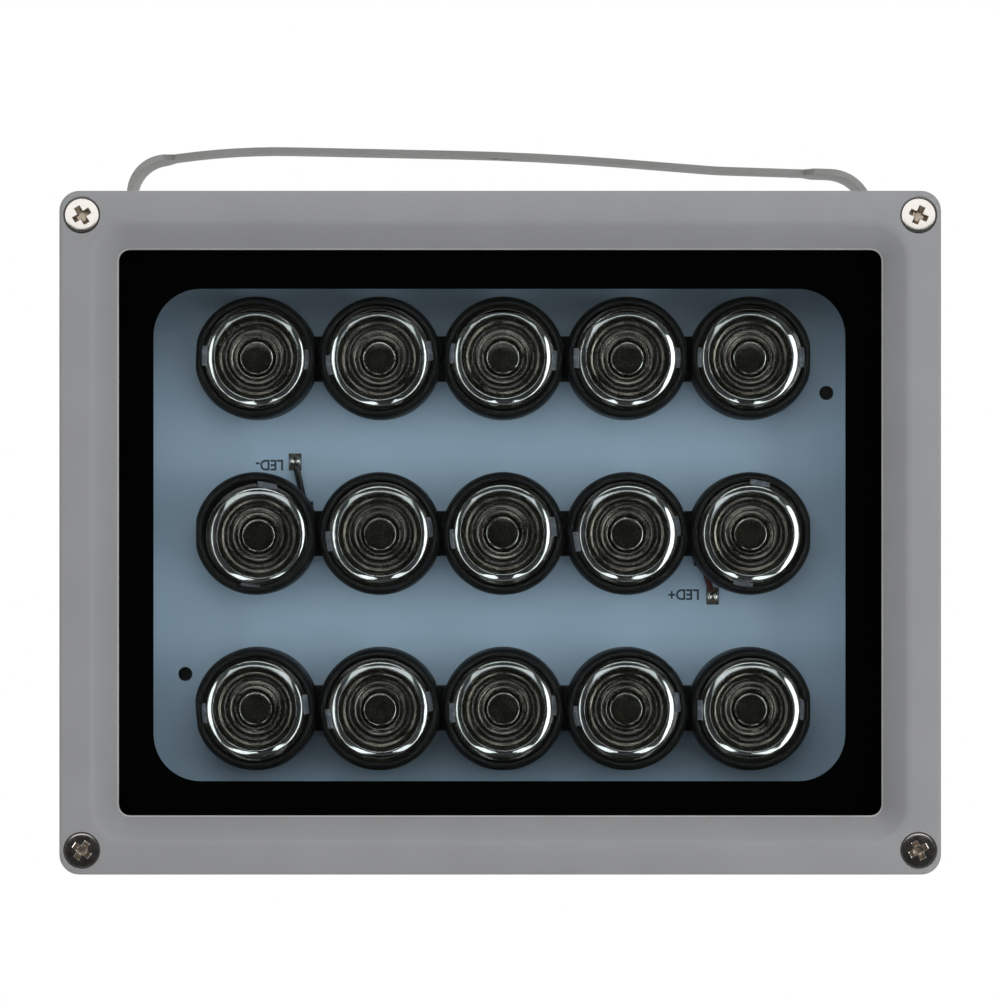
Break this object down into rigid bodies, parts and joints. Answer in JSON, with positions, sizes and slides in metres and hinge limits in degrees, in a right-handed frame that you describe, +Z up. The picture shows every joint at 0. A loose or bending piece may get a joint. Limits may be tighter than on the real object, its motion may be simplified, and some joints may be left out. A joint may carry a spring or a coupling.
{
  "type": "infrared illuminator",
  "caption": "Flat finned lamp head with rows of infrared LEDs and lenses behind framed glass, tilting in a folded steel bracket that fixes to a wall or ceiling.",
  "frame": {"origin": "middle of the bracket bar's central fixing hole, halfway through the strip", "axes": "+X to the right seen from the front, +Y to the back, +Z up; the glass faces -Y"},
  "size_m": [0.176, 0.065, 0.1476],
  "materials": {
    "bracket_steel": "matt galvanised",
    "bolt_steel": "plated",
    "frame_grey": "matt grey coating",
    "screw_steel": "bright",
    "clear_glass": "polished",
    "black_print": "printed black",
    "seal_rubber": "matt",
    "housing_grey": "matt grey coating",
    "board_blue": "satin solder mask",
    "pad_grey": "matt",
    "emitter_dark": "satin",
    "holder_black": "satin",
    "lens_clear": "clear",
    "wire_black": "satin",
    "wire_red": "satin",
    "solder": "bright",
    "driver_green": "satin",
    "driver_parts": "satin",
    "terminal_green": "satin",
    "gland_black": "satin"
  },
  "bodies": {
    "mount_bracket": {"bracket": "bracket_steel"},
    "lamp_head": {"pivot_bolts": "bolt_steel", "front_frame": "frame_grey", "frame_screws": "screw_steel", "glass_pane": "clear_glass", "glass_border_print": "black_print", "glass_gasket": "seal_rubber", "rear_housing": "housing_grey", "rear_cover_seal": "seal_rubber", "rear_cover": "housing_grey", "led_board": "board_blue", "thermal_pad": "pad_grey", "led_emitters": "emitter_dark", "lens_holders": "holder_black", "lenses": "lens_clear", "negative_wire": "wire_black", "positive_wire": "wire_red", "solder_joints": "solder", "driver_board": "driver_green", "driver_transformer": "driver_parts", "driver_capacitor": "driver_parts", "driver_terminal": "terminal_green", "gland_body": "gland_black", "gland_cap": "gland_black"}
  },
  "joints": [
    {"name": "tilt", "type": "hinge", "parent": "mount_bracket", "child": "lamp_head", "pos_m": [0, 0, -0.0777], "axis": [1, 0, 0], "range_deg": [-14, 160]}
  ]
}
